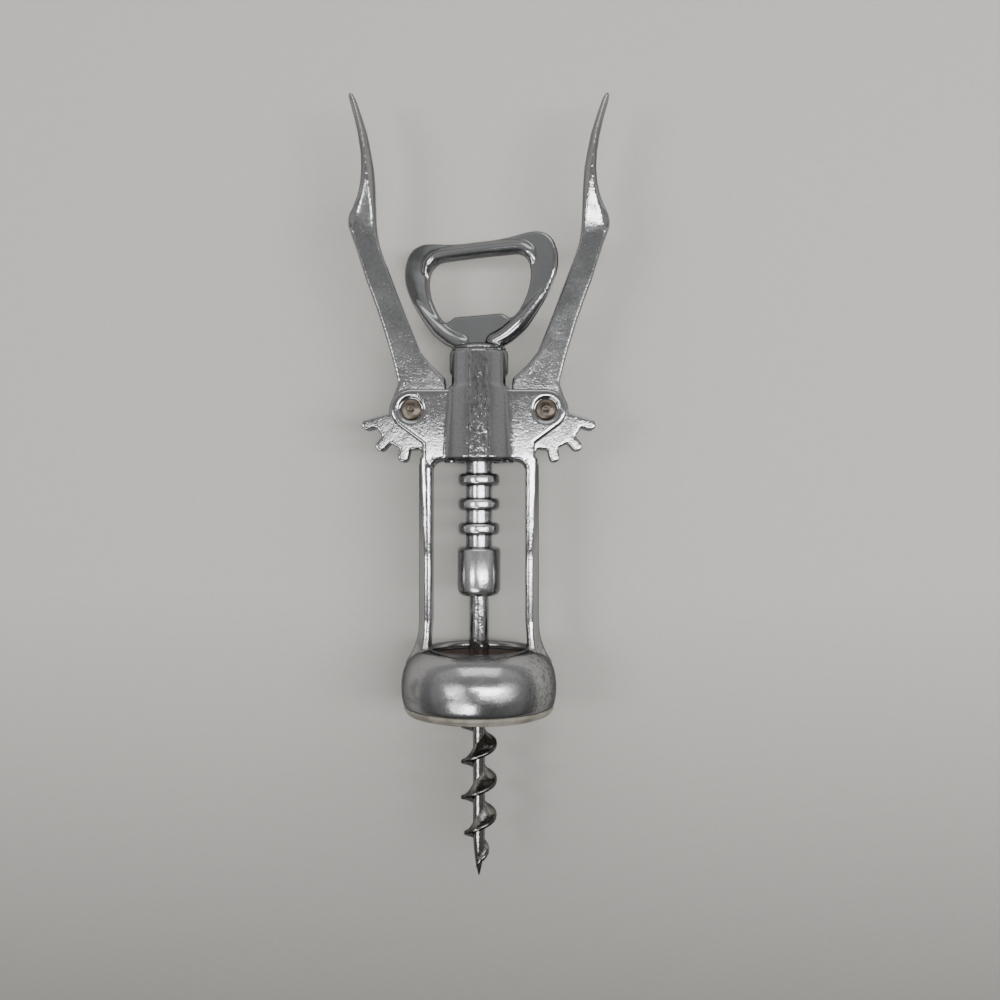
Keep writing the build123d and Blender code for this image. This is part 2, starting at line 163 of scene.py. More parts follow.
def soft_light(name, place, aim, size, power, colour):
    """Rectangular lamp turned to a point, and hidden from the camera."""
    lamp = bpy.data.lights.new(name, "AREA")
    lamp.shape = "RECTANGLE"
    lamp.size, lamp.size_y = size
    lamp.energy = power
    lamp.color = colour
    light = placed(name, lamp)
    light.visible_camera = False
    light.location = place
    light.rotation_euler = (Vector(aim) - Vector(place)).to_track_quat("-Z", "Y").to_euler()
    return light


head_of_tool = (0.02, 0.08, 0)
far_light = soft_light("far_light", (0.06, 1.0, 0.68), head_of_tool, (2.3, 1.0), 8.6, WARM_WHITE)
far_light.visible_glossy = False
far_glint = soft_light("far_glint", (0.04, 1.0, 0.68), head_of_tool, (1.1, 0.55), 2.9, WARM_WHITE)
far_glint.visible_diffuse = False
for name, left, right, near, far in (
    ("right_panel", 0.03, 0.64, -0.018, 0.086),
    ("left_panel", -0.56, -0.285, -0.018, 0.092),
    ("middle_panel", -0.095, 0.03, 0.056, 0.092),
    ("near_panel", -0.5, -0.06, -0.36, -0.2),
):
    middle = ((left + right) / 2, (near + far) / 2)
    extent = (right - left, far - near)
    glow = NEAR_PANEL_GLOW if name == "near_panel" else PANEL_GLOW
    power = glow * extent[0] * extent[1]
    panel = soft_light(name, (*middle, PANEL_HEIGHT), (*middle, 0), extent, power, PANEL_WHITE)
    panel.visible_diffuse = name != "near_panel"

# The room has a lighter band half way up, and is darker on the near side.
world = bpy.data.worlds.new("room")
scene.world = world
world.use_nodes = True
room = Recipe(world.node_tree, "Generated")
heading = room.axes(room.places)
levels = ((0.0, 0.32), (0.2, 0.26), (0.38, 0.42), (0.56, 0.4), (0.8, 0.27), (1.0, 0.28))
overhead = room.bands(heading["Z"], [(place, (level,) * 3) for place, level in levels], "EASE")
beyond = room.ramp(heading["Y"], -0.8, 0.6, 0.2, 1.45)
background = world.node_tree.nodes["Background"]
room.feed(background.inputs["Color"], room.math("MULTIPLY", overhead, beyond))
background.inputs["Strength"].default_value = 1.0

# Camera straight above the tool, close to it.
camera_data = bpy.data.cameras.new("camera")
camera_data.sensor_width = 36.0
camera_data.lens = 36.0
camera_data.clip_start = 0.01
camera = placed("camera", camera_data)
camera.location = (0.005526, 0.05553, 0.2632)
scene.camera = camera

# ----------------------------------------------------------- frame casting
# The frame is one zinc die casting, plated bright: a bell that sits on the
# bottle, two legs, a double-walled head for the wings and a guide sleeve. The
# casting is lumpy and pitted under its plating, and its edges are soft.

MM = 0.001


def closed(name, mesh):
    """Piece from a mesh, with its seams merged and its faces pointing outwards."""
    form = bmesh.new()
    form.from_mesh(mesh)
    bmesh.ops.remove_doubles(form, verts=form.verts, dist=1e-7)
    bmesh.ops.recalc_face_normals(form, faces=form.faces)
    form.to_mesh(mesh)
    form.free()
    return placed(name, mesh)


def shell(name, points, faces):
    """Closed shell from points in millimetres."""
    mesh = bpy.data.meshes.new(name)
    mesh.from_pydata([Vector(p) * MM for p in points], [], faces)
    return closed(name, mesh)


def curve_through(points, steps):
    """Smooth line through the points, with steps to each stretch."""
    ends = [points[0], *points, points[-1]]
    line = []
    for k in range(len(points) - 1):
        a, b, c, d = (Vector(p) for p in ends[k : k + 4])
        for n in range(steps):
            t = n / steps
            bend = 2 * b + (c - a) * t + (2 * a - 5 * b + 4 * c - d) * t**2
            line.append(0.5 * (bend + (3 * b - a - 3 * c + d) * t**3))
    line.append(Vector(points[-1]))
    return line


def turned(name, profile, around=128, closed_profile=True):
    """Shape turned about the screw axis from (radius, height) points."""
    points, faces = [], []
    count = len(profile)
    for k in range(around):
        angle = 2 * pi * k / around
        points += [(r * sin(angle), y, r * cos(angle)) for r, y in profile]
        here, there = k * count, (k + 1) % around * count
        for n in range(count if closed_profile else count - 1):
            m = (n + 1) % count
            faces.append((here + n, here + m, there + m, there + n))
    return shell(name, points, faces)


def lofted(name, sections):
    """Skin through matching closed sections, capped at both ends."""
    count = len(sections[0])
    points = [p for section in sections for p in section]
    faces = [tuple(range(count)), tuple(len(points) - 1 - n for n in range(count))]
    for k in range(len(sections) - 1):
        here, there = k * count, (k + 1) * count
        for n in range(count):
            m = (n + 1) % count
            faces.append((here + n, here + m, there + m, there + n))
    return shell(name, points, faces)


def as_mesh(piece):
    """Plain mesh of a piece, as its modifiers or its curve make it."""
    graph = bpy.context.evaluated_depsgraph_get()
    return bpy.data.meshes.new_from_object(piece.evaluated_get(graph))


def slab(name, outlines, low, high, edge):
    """Flat plate between two heights with rounded edges, from an outline and its holes."""
    sheet = bpy.data.curves.new(name, "CURVE")
    sheet.dimensions = "2D"
    sheet.fill_mode = "BOTH"
    sheet.extrude = ((high - low) / 2 - edge) * MM
    sheet.bevel_depth = edge * MM
    sheet.bevel_resolution = 2
    sheet.offset = -edge * MM
    for outline in outlines:
        line = sheet.splines.new("POLY")
        line.points.add(len(outline) - 1)
        for point, place in zip(line.points, outline):
            point.co = (place[0] * MM, place[1] * MM, 0, 1)
        line.use_cyclic_u = True
    drawn = placed(name, sheet)
    made = as_mesh(drawn)
    bpy.data.objects.remove(drawn)
    made.transform(Matrix.Translation((0, 0, (low + high) / 2 * MM)))
    return closed(name, made)


def arc(centre, radius, start, end, steps):
    """Points on an arc, from one angle in degrees to another."""
    angles = [radians(start + (end - start) * k / steps) for k in range(steps + 1)]
    return [(centre[0] + radius * cos(a), centre[1] + radius * sin(a)) for a in angles]


def apply_modifiers(piece):
    """Turn the piece and its live modifiers into a plain mesh."""
    bpy.context.view_layer.update()
    made = as_mesh(piece)
    piece.modifiers.clear()
    piece.data = made
    return piece


def cut_away(piece, cutters):
    """Take the cutters out of the piece."""
    for cutter in cutters:
        taken = piece.modifiers.new("taken", "BOOLEAN")
        taken.operation = "DIFFERENCE"
        taken.solver = "EXACT"
        taken.object = cutter
    apply_modifiers(piece)
    for cutter in cutters:
        bpy.data.objects.remove(cutter)
    return piece


def cast(name, shells, fineness, rounding):
    """Fuse closed shells into one casting with soft edges."""
    fused = bmesh.new()
    for one in shells:
        fused.from_mesh(one.data)
        bpy.data.objects.remove(one)
    mesh = bpy.data.meshes.new(name)
    fused.to_mesh(mesh)
    fused.free()
    piece = placed(name, mesh)
    skin = piece.modifiers.new("skin", "REMESH")
    skin.mode = "VOXEL"
    skin.voxel_size = fineness * MM
    skin.use_smooth_shade = True
    soften = piece.modifiers.new("soften", "SMOOTH")
    soften.factor = 0.5
    soften.iterations = rounding
    return apply_modifiers(piece)


def coated(piece, material, crisp=None):
    """Give a piece its finish and smooth faces; edges past the crisp angle stay sharp."""
    piece.data.materials.clear()
    piece.data.materials.append(material)
    piece.data.shade_smooth()
    if crisp:
        piece.data.set_sharp_from_angle(angle=radians(crisp))


def fade(recipe, source, start, end, first=0.0, second=1.0):
    """Ramp that is eased at both ends."""
    return recipe.ramp(source, start, end, first, second, "SMOOTHSTEP")


def so_far(finish, socket):
    """What a socket of the finish is fed with so far."""
    return finish.shader.inputs[socket].links[0].from_socket


def cover(finish, amount, colour, under=None):
    """Lay a colour over the finish's own, or over the one given as under."""
    under = (*under, 1) if under else so_far(finish, "Base Color")
    colours = {"Factor": amount, "A": under, "B": (*colour, 1)}
    mixed = finish.add("ShaderNodeMix", colours, data_type="RGBA")
    finish.coat("Base Color", mixed.outputs["Result"])


def relief(finish, height, depth, strength, **options):
    """Raise the finish by a height, on top of the relief that it has so far."""
    sizes = {"Height": height, "Distance": depth, "Strength": strength}
    if finish.shader.inputs["Normal"].links:
        sizes["Normal"] = so_far(finish, "Normal")
    finish.coat("Normal", finish.make("ShaderNodeBump", sizes, **options))


def plating(name, colour, shine, lumps, pits, grime_and_shade):
    """Bright plating over a casting: uneven gloss, lumps, pits, and dirt and painted shade in the
    corners.
    """
    metal, finish = new_finish(name, {"Metallic": 1.0, "Specular Tint": (0.3, 0.3, 0.31, 1)})
    math, ramp = finish.math, finish.ramp

    def cloud(scale, detail, rough=0.55):
        return finish.noise(scale, detail, rough)

    cells = finish.make("ShaderNodeTexVoronoi", {"Vector": finish.places, "Scale": 900.0})
    pit = math("MULTIPLY", ramp(cells, 0.1, 0.32, 1, 0), ramp(cloud(260, 2), 0.5, 0.62, 0, 1))
    patchy = ramp(cloud(120, 4, 0.65), 0.35, 0.7, *shine)
    gloss = math("ADD", patchy, ramp(cloud(1700, 3), 0.4, 0.75, 0, 0.07))
    finish.coat("Roughness", math("MAXIMUM", gloss, ramp(pit, 0, 1, 0, 0.6 * pits)))

    # Corners and hollows are painted darker: partly dirt, partly painted shade where less light
    # reaches.
    corners = finish.add("ShaderNodeNewGeometry").outputs["Pointiness"]
    hollow = ramp(corners, 0.44, 0.495, grime_and_shade, 0)
    speckle = ramp(cloud(1300, 3, 0.7), 0.48, 0.66, 0, 0.4 * pits)
    soil_and_shade = math("MAXIMUM", math("MAXIMUM", hollow, speckle), ramp(pit, 0, 1, 0, 0.75 * pits))
    stain_and_shade = math("MULTIPLY", soil_and_shade, ramp(cloud(500, 3), 0.3, 0.6, 0.55, 1))
    cover(finish, stain_and_shade, (0.045, 0.038, 0.032), under=colour)

    relief(finish, cloud(330, 3), 0.35 * MM, lumps)
    grain = ramp(cloud(1900, 4), 0.3, 0.7, 0.2, 0)
    dents = math("ADD", ramp(pit, 0, 1, 0, 0.4), grain)
    relief(finish, dents, 0.12 * MM, 0.7 * pits, invert=True)
    return metal


frame_plating = plating(
    "frame_plating", colour=(0.43, 0.43, 0.44), shine=(0.05, 0.12), lumps=0.05, pits=0.36, grime_and_shade=0.9
)
finish = Recipe(frame_plating.node_tree)
math = finish.math
spot = finish.axes(finish.places)

# Brown cork dust inside the bell, within a radius of the screw axis. It isn't metal.
CORK_RADIUS = 17.55
CORK_TOP = 14.3
across = finish.make("ShaderNodeCombineXYZ", {"X": spot["X"], "Z": spot["Z"]})
from_axis = finish.add("ShaderNodeVectorMath", {0: across}, operation="LENGTH").outputs["Value"]
inside = math("LESS_THAN", from_axis, CORK_RADIUS * MM)
dusty = math("MULTIPLY", inside, math("LESS_THAN", spot["Y"], CORK_TOP * MM))
dust = math("MULTIPLY", dusty, finish.noise(260, 4), use_clamp=True)
cover(finish, dust, (0.8, 0.6, 0.47))
finish.coat("Metallic", math("SUBTRACT", 1.0, dusty))

# The bell is duller than the head, smudged all round and freckled on its right;
# the rib up the barrel is left rough from the mould. Places on the casting are
# in metres here.
on_bell = fade(finish, spot["Y"], 0.0175, 0.022, 1, 0)
on_right = math("MULTIPLY", on_bell, fade(finish, spot["X"], 0.009, 0.016))
smudged = fade(finish, finish.noise(95, 4, squash=1.4), 0.46, 0.66)
smudge = math("MULTIPLY", on_bell, smudged)
freckled = fade(finish, finish.noise(1050, 5), 0.46, 0.64, 0, 0.6)
freckle = math("MULTIPLY", on_right, freckled)
beside = fade(finish, math("ABSOLUTE", spot["X"]), 0.0026, 0.0034, 1, 0)
on_rib = math("MULTIPLY", beside, fade(finish, spot["Y"], 0.062, 0.066))
flecked = fade(finish, finish.noise(1300, 5, squash=0.45), 0.45, 0.65, 0, 0.42)
fleck = math("MULTIPLY", on_rib, flecked)
marks = math("MAXIMUM", math("MAXIMUM", fade(finish, smudge, 0, 1, 0, 0.4), freckle), fleck)
cover(finish, marks, (0.12, 0.115, 0.11))
worn = math("ADD", fade(finish, on_bell, 0, 1, 0, 0.08), fade(finish, smudge, 0, 1, 0, 0.14))
finish.coat("Roughness", math("ADD", so_far(finish, "Roughness"), worn))
mould = finish.noise(1050, 4, squash=0.5)
relief(finish, mould, 0.4 * MM, fade(finish, on_rib, 0, 1, 0, 0.42))

PIVOT_X = 17.4
PIVOT_Y = 78.8
EAR_RADIUS = 5.4
PLATE_INNER = 3.35
PLATE_OUTER = 5.95
PLATE_EDGE = 0.8
RIVET_SEAT = 5.55
RIVET_SEAT_RADIUS = 3.4
RIVET_HOLE = 2.05
PINION_ROOM = 14.05
RACK_BORE = 5.7
SLEEVE_TOP = 94.7
BARREL_FOOT = 64.6
BARREL_DEPTH = 9.9
BARREL_TOP_DEPTH = 8.3
BARREL_SEAT = 5.8
LEG_FLARE_TOP = 24.0
LEG_SWELL_FOOT = 41.0
CLEAR_OF_FRAME = 8.0

# Bell: turned wall with a rolled edge round the opening on top
bell_outside = [
    (12.0, 15.2), (12.15, 16.3), (12.9, 16.75), (14.4, 16.7), (16.2, 16.0),
    (18.4, 13.9), (19.9, 10.6), (20.35, 6.6), (20.1, 3.6), (19.7, 2.0),
]
bell_inside = [(17.5, 2.0), (17.5, 7.6), (16.7, 11.6), (14.4, 14.2), (12.2, 14.9)]
bell = turned("bell", curve_through(bell_outside, 6) + curve_through(bell_inside, 6), around=192)


def leg(side, heights):
    """Leg of the frame: flat inside, sloped outside, with a narrow front ridge."""
    sections = []
    for y in heights:
        # foot is 1 at the bell, head is 1 at the plates, and between them both are 0
        foot = max(0.0, (LEG_FLARE_TOP - y) / 11.0)
        head = max(0.0, (y - LEG_SWELL_FOOT) / 25.5)
        outer = 15.8 + 3.5 * foot**2.2
        deep = 5.0 + 0.5 * foot + 0.95 * head
        half = [
            (12.16 + 0.9 * foot, deep - 0.8),
            (12.5 + 0.8 * foot, deep - 0.1),
            (13.3 + 1.1 * foot, deep),
            (14.1 + 1.5 * foot**2 + 0.7 * head, deep - 0.25),
            (outer - 0.2, 2.2),
            (outer, 0.0),
        ]
        whole = half + [(x, -z) for x, z in reversed(half[:-1])]
        sections.append([(side * x, y, z) for x, z in whole])
    return lofted("leg", sections)


def both_halves(half):
    """Whole outline from its right half."""
    right = [(p[0], p[1]) for p in half]
    return right + [(-x, y) for x, y in reversed(right[1:-1])]


lower_heights = [13.0, 14.0, 15.0, 16.0, 17.0, 18.0, 19.5, 21.0, 24.0, 41.0]
upper_heights = [39.5, 41.0, 50.0, 59.0, 63.0, 66.5]
lower_legs = [leg(side, lower_heights) for side in (-1, 1)]
lower_body = cast("frame_bell", [bell, *lower_legs], fineness=0.32, rounding=5)

# Head: two plates that carry the wings between them, with a seat round each rivet
head_half = (
    [(0.0, PIVOT_Y + EAR_RADIUS)]
    + arc((PIVOT_X, PIVOT_Y), EAR_RADIUS, 90, -52, 40)
    + [(14.6, 70.0), (14.6, 66.4), (14.2, 65.0), (12.3, 64.7)]
    + arc((9.9, 63.4), 2.25, 8, 80, 8)
    + [(6.0, 66.35), (0.0, 66.7)]
)


def round_outline(centre, radius, around):
    """Points all round a circle."""
    return arc(centre, radius, 0, 360 - 360 / around, around - 1)


def pivot_drill(side, radius, low, high, around=48):
    """Drill at a wing pivot, from front to back."""
    ring = round_outline((side * PIVOT_X, PIVOT_Y), radius, around)
    return lofted("drill", [[(x, y, z) for x, y in ring] for z in (low, high)])


def axis_drill(radius, low, high, around):
    """Drill along the screw axis."""
    ring = round_outline((0, 0), radius, around)
    return lofted("drill", [[(x, y, z) for x, z in ring] for y in (low, high)])


plates = []
for face in (1, -1):
    low, high = sorted((face * PLATE_INNER, face * PLATE_OUTER))
    plate = slab("plate", [both_halves(head_half)], low, high, PLATE_EDGE)
    seat = sorted((face * RIVET_SEAT, face * 7.0))
    seats = [pivot_drill(side, RIVET_SEAT_RADIUS, *seat) for side in (-1, 1)]
    plates.append(cut_away(plate, seats))


def barrel_section(y, half_width, lift=0.0, bend=9.4, skirt=0.0):
    """Slice of the barrel that stands out of both plates, with hollow skirts."""
    thinned = (BARREL_TOP_DEPTH - BARREL_DEPTH) * (y - BARREL_FOOT) / (SLEEVE_TOP - BARREL_FOOT)
    crown = BARREL_DEPTH + thinned + lift
    middle = [half_width * (1 - 2 * k / 16) for k in range(17)]
    front = [(x, crown - x**2 / (2 * bend)) for x in middle]
    fall = front[0][1] - BARREL_SEAT
    steps = [
        (half_width + skirt * t, BARREL_SEAT + fall * (1 - t) ** 2) for t in (1.0, 0.75, 0.5, 0.25)
    ]
    front = steps + front + [(-x, z) for x, z in reversed(steps)]
    return [(x, y, z) for x, z in front] + [(x, y, -z) for x, z in reversed(front)]


# Height, half width, lift of the crown, its bend and the width of the skirt
barrel_sizes = (
    (66.2, 7.9, 0.0, 9.4, 1.8),
    (82.6, 7.3, 0.0, 9.4, 1.8),
    (84.6, 6.6, 0.0, 9.4, 0.9),
    (85.6, 6.2, 0.0, 8.0, 0.4),
    (93.9, 6.0, 0.0, 8.0, 0.3),
    (SLEEVE_TOP, 5.6, -0.8, 8.0, 0.3),
)
rib_sizes = ((66.2, 2.35, 0.45), (88.5, 2.2, 0.4), (93.9, 2.1, 0.25), (94.6, 1.9, -0.5))
barrel = lofted("barrel", [barrel_section(*sizes) for sizes in barrel_sizes])
rib = lofted("rib", [barrel_section(*sizes) for sizes in rib_sizes])
sleeve_wall = [
    (2.0, 65.4), (7.5, 65.4), (7.75, 66.0), (7.75, 93.9), (7.3, SLEEVE_TOP), (2.0, SLEEVE_TOP),
]
sleeve = turned("sleeve", sleeve_wall, around=96)
bridge = lofted(
    "bridge",
    [[(-9.0, y, -4.0), (9.0, y, -4.0), (9.0, y, 4.0), (-9.0, y, 4.0)] for y in (65.2, 67.0)],
)
upper_legs = [leg(side, upper_heights) for side in (-1, 1)]
head_parts = [*plates, barrel, rib, sleeve, bridge, *upper_legs]
frame_head = cast("frame_head", head_parts, fineness=0.28, rounding=4)
cut_away(
    frame_head,
    [
        axis_drill(RACK_BORE, 60.0, 100.0, 64),
        pivot_drill(-1, PINION_ROOM, -PLATE_INNER, PLATE_INNER, 96),
        pivot_drill(1, PINION_ROOM, -PLATE_INNER, PLATE_INNER, 96),
        pivot_drill(-1, RIVET_HOLE, -CLEAR_OF_FRAME, CLEAR_OF_FRAME),
        pivot_drill(1, RIVET_HOLE, -CLEAR_OF_FRAME, CLEAR_OF_FRAME),
    ],
)

for piece in (lower_body, frame_head):
    coated(piece, frame_plating)
    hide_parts("frame")
    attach(piece, "frame")

# ------------------------------------------------------------ bottle ring
# Off-white nylon ring pressed into the mouth of the bell. Its lip has a small step against the
# bell. Its colour is painted dark grey: partly greyed and scuffed from use, partly painted shade,
# as the ring faces away from the light.


def satin(name, light, dark, shine, grain_scale, grain_depth, metallic=0.0):
    """Plain finish with a fine grain and a little soiling."""
    material, finish = new_finish(name, {"Metallic": metallic})
    cloud = finish.noise(grain_scale * 0.25, 5.0)
    finish.coat("Base Color", finish.bands(cloud, [(0.35, dark), (0.62, light)]))
    finish.coat("Roughness", finish.ramp(cloud, 0, 1, *shine))
    relief(finish, finish.noise(grain_scale, 3.0), 0.1 * MM, grain_depth)
    return material


# Painted shade: these nylon colours are darkened because the ring faces away from the light; the
# rest is dirt from use.
ring_nylon = satin(
    "ring_nylon",
    light=(0.31, 0.293, 0.25),
    dark=(0.19, 0.176, 0.145),
    shine=(0.35, 0.6),
    grain_scale=1200,
    grain_depth=0.4,
)
ring_wall = [
    (15.9, 0.0), (18.7, 0.0), (19.05, 0.25), (19.2, 0.8), (19.5, 0.95), (19.6, 1.2), (19.6, 1.85),
    (19.3, 2.0), (17.45, 2.0), (17.45, 6.6), (17.1, 7.0), (15.2, 7.0), (15.0, 6.8), (15.0, 1.0),
]
bottle_ring = turned("nylon_ring", ring_wall, around=192)
coated(bottle_ring, ring_nylon, crisp=35)
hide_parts("bottle_ring")
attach(bottle_ring, "frame")

# ------------------------------------------------------------------ wings
# Both wings are zinc castings, plated: a six-toothed pinion, a flat arm and a thumb pad that is
# deep from front to back. On the real wings the arms are rough and dull and the pinions and pads
# rubbed bright; here one patchy finish covers the whole wing. Each turns on its own rivet.

wing_plating = plating(
    "wing_plating", colour=(0.42, 0.425, 0.43), shine=(0.11, 0.2), lumps=0.16, pits=0.6, grime_and_shade=0.9
)

TOOTH_COUNT = 6
TOOTH_STEP = 30.8
FIRST_TOOTH = 188.5
TOOTH_HALF = 1.375
TOOTH_REACH = 13.7
ROOT_RADIUS = 10.2
HUB_RADIUS = 6.0
ARM_HALF = 3.1
ARM_EDGE = 0.3
WING_HOLE = 2.08
PAD_LEAN = 0.32
ELBOW = 47.5

# Stations up the arm and pad, from the pivot: outer edge, inner edge, half
# depth, then how far the front slopes in from the outer and the inner edge. The
# pad's front starts as a flat facet at the elbow and narrows to a ridge.
arm_stations = [
    ((3.6, 5.0), (-8.3, 5.6), 3.1, 0.3, 0.3),
    ((3.9, 8.3), (-8.7, 8.4), 3.1, 0.3, 0.3),
    ((4.8, 11.9), (-4.8, 12.1), 3.1, 0.3, 0.3),
    ((5.9, 15.9), (-2.1, 15.4), 3.1, 0.35, 0.3),
    ((8.5, 24.2), (1.3, 23.9), 3.1, 0.4, 0.3),
    ((10.3, 29.4), (3.3, 29.1), 3.1, 0.4, 0.3),
    ((12.1, 34.1), (5.3, 34.4), 3.1, 0.4, 0.3),
    ((14.2, 40.8), (7.7, 40.6), 3.05, 0.4, 0.3),
    ((15.6, 44.9), (8.8, 44.0), 2.95, 0.45, 0.3),
    ((16.4, 46.9), (9.2, 45.9), 3.0, 0.8, 0.3),
    ((16.95, 48.5), (9.45, 47.7), 3.15, 1.5, 0.32),
    ((17.1, 49.7), (9.65, 49.5), 3.4, 2.3, 0.36),
    ((16.8, 51.3), (9.75, 51.5), 3.8, 2.5, 0.45),
    ((15.8, 53.2), (9.8, 53.8), 4.35, 2.15, 0.6),
    ((14.5, 56.0), (9.9, 56.8), 5.0, 1.6, 0.85),
    ((13.7, 59.2), (10.0, 60.0), 5.6, 1.35, 1.15),
    ((13.35, 63.0), (10.3, 64.0), 6.1, 1.3, 1.3),
    ((13.5, 67.2), (11.0, 68.2), 5.9, 1.1, 1.1),
    ((14.3, 72.4), (12.0, 73.2), 5.0, 0.95, 1.0),
    ((15.5, 77.6), (13.6, 78.2), 3.8, 0.8, 0.8),
    ((16.6, 81.4), (14.9, 81.9), 2.7, 0.65, 0.65),
    ((16.85, 82.8), (15.5, 83.0), 2.3, 0.4, 0.4),
    ((16.6, 83.3), (16.0, 83.35), 1.9, 0.15, 0.15),
]


def at_angle(radius, angle):
    """Point at an angle in degrees about the pivot."""
    return radius * cos(radians(angle)), radius * sin(radians(angle))


def wing(side, name, node):
    """One wing in millimetres: pinion, arm and pad fused into a casting."""

    def from_pivot(x, y):
        return side * (PIVOT_X + x), PIVOT_Y + y

    sections = []
    for outer, inner, deep, out_slope, in_slope in arm_stations:
        o, i = Vector(outer), Vector(inner)
        across = (i - o).normalized()
        ease = 0.3 * max(0.0, deep - ARM_HALF)
        # The left pad's front leans a little, from the elbow up
        lean = PAD_LEAN * min(1.0, max(0.0, (o.y - ELBOW) / 4.5)) if side < 0 else 0.0
        front = [
            (*o, 0.0),
            (*(o + 0.15 * out_slope * across), 0.7 * deep - ease),
            (*(o + out_slope * across), deep - lean),
            (*(i - in_slope * across), deep),
            (*(i - 0.2 * in_slope * across), 0.75 * deep - ease),
            (*i, 0.0),
        ]
        whole = front + [(x, y, -z) for x, y, z in reversed(front[1:-1])]
        sections.append([(*from_pivot(x, y), z) for x, y, z in whole])

    last_tooth = FIRST_TOOTH + (TOOTH_COUNT - 1) * TOOTH_STEP
    outlines = [
        [(0.0, 0.0), *arc((0, 0), ROOT_RADIUS, 178, last_tooth + 8, 60)],
        [(0.0, 0.0), (-8.7, 0.0), (-8.7, 7.4), (3.0, 9.0), (5.8, 1.0)],
        round_outline((0, 0), HUB_RADIUS, 60),
    ]
    for k in range(TOOTH_COUNT):
        angle = FIRST_TOOTH + k * TOOTH_STEP
        tip = at_angle(TOOTH_REACH - TOOTH_HALF, angle)
        foot = at_angle(HUB_RADIUS, angle)
        aside = at_angle(TOOTH_HALF, angle + 90)
        stem = [(foot[0] + s * aside[0], foot[1] + s * aside[1]) for s in (1, -1)]
        outlines.append(arc(tip, TOOTH_HALF, angle - 90, angle + 90, 16) + stem)
    parts = [lofted("arm", sections)]
    for outline in outlines:
        spread = [from_pivot(*p) for p in outline]
        parts.append(slab("pinion", [spread], -ARM_HALF, ARM_HALF, ARM_EDGE))
    made = cast(name, parts, fineness=0.3, rounding=4)
    cut_away(made, [pivot_drill(side, WING_HOLE, -CLEAR_OF_FRAME, CLEAR_OF_FRAME)])
    coated(made, wing_plating)
    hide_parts(node)
    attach(made, node)


wing(-1, "left_lever", "left_wing")
wing(1, "right_lever", "right_wing")

# ----------------------------------------------------------------- rivets
# Dull brown steel rivets hold the wings. Each has a low domed head on both
# faces of the frame, with a dimple where it was headed over.

rivet_steel = satin(
    "rivet_steel",
    light=(0.17, 0.145, 0.12),
    dark=(0.08, 0.066, 0.055),
    shine=(0.25, 0.45),
    grain_scale=1600,
    grain_depth=0.6,
    metallic=1.0,
)


def grown(name, steel, sizes, shape):
    """Piece from a tree with named sizes, floats in millimetres; shape adds its nodes."""
    tree = bpy.data.node_groups.new(name, "GeometryNodeTree")
    socket = tree.interface.new_socket
    socket("Geometry", in_out="OUTPUT", socket_type="NodeSocketGeometry")
    for label, size in sizes.items():
        whole = isinstance(size, int)
        kind = "NodeSocketInt" if whole else "NodeSocketFloat"
        given_size = socket(label, in_out="INPUT", socket_type=kind)
        given_size.default_value = size if whole else size * MM
    socket("Steel", in_out="INPUT", socket_type="NodeSocketMaterial").default_value = steel
    form = Recipe(tree, None)
    given = form.add("NodeGroupInput").outputs
    real = form.make("GeometryNodeRealizeInstances", {0: shape(form, given)})
    smooth = form.make("GeometryNodeSetShadeSmooth", {0: real})
    coat = {"Geometry": smooth, "Material": given["Steel"]}
    form.add("NodeGroupOutput", {0: form.make("GeometryNodeSetMaterial", coat)})
    piece = placed(name, bpy.data.meshes.new(name))
    piece.modifiers.new(name, "NODES").node_group = tree
    return apply_modifiers(piece)


def point(form, x=0.0, y=0.0, z=0.0):
    """Place from its X, Y and Z."""
    return form.make("ShaderNodeCombineXYZ", {0: x, 1: y, 2: z})


def rivet_shape(form, given):
    """Two shanks and four domed heads. A head starts as a ball of radius 1, dished in
    the middle and cut off below, and is then brought to its size."""
    spot = form.axes(form.make("GeometryNodeInputPosition"))
    flat = point(form, spot["X"], spot["Y"])
    from_middle = form.add("ShaderNodeVectorMath", {0: flat}, operation="LENGTH").outputs["Value"]
    dimple = fade(form, from_middle, 0.1, 0.3, 0.72, 1.0)
    dished = form.math("MAXIMUM", form.math("MULTIPLY", spot["Z"], dimple), -0.35)
    size = point(form, given["Head radius"], given["Head radius"], given["Head height"])
    shaped = {0: point(form, spot["X"], spot["Y"], dished), 1: size}
    sized = form.make("ShaderNodeVectorMath", shaped, operation="MULTIPLY")
    dome = form.make("GeometryNodeMeshUVSphere", {"Segments": 48, "Rings": 32, "Radius": 1.0})
    head = form.make("GeometryNodeSetPosition", {"Geometry": dome, "Position": sized})
    length = form.math("MULTIPLY", given["Face height"], 1.65)
    bar = {"Vertices": 48, "Radius": given["Shank radius"], "Depth": length}
    shank = form.make("GeometryNodeMeshCylinder", bar)

    seat_height = form.math("SUBTRACT", given["Face height"], given["Head height"])
    gathered = form.add("GeometryNodeJoinGeometry")
    for side in (-1, 1):
        sideways = form.math("MULTIPLY", given["Pivot offset"], side)
        pivot = point(form, sideways, given["Pivot height"])
        pin = form.make("GeometryNodeTransform", {"Geometry": shank, "Translation": pivot})
        form.feed(gathered.inputs[0], pin)
        for face in (-1, 1):
            facing = form.math("MULTIPLY", seat_height, face)
            seat = point(form, sideways, given["Pivot height"], facing)
            spin = (0 if face > 0 else pi, 0, 0.7 * side)
            seated = form.make("GeometryNodePoints", {"Position": seat})
            heads = {"Points": seated, "Instance": head, "Rotation": spin}
            form.feed(gathered.inputs[0], form.make("GeometryNodeInstanceOnPoints", heads))
    return gathered.outputs[0]


rivet_sizes = {
    "Head radius": 2.9,
    "Head height": 1.0,
    "Shank radius": 2.0,
    "Pivot offset": PIVOT_X,
    "Pivot height": PIVOT_Y,
    "Face height": 6.45,
}
heads = grown("rivet_heads", rivet_steel, rivet_sizes, rivet_shape)
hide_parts("left_rivet", "right_rivet")
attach(heads, "frame")
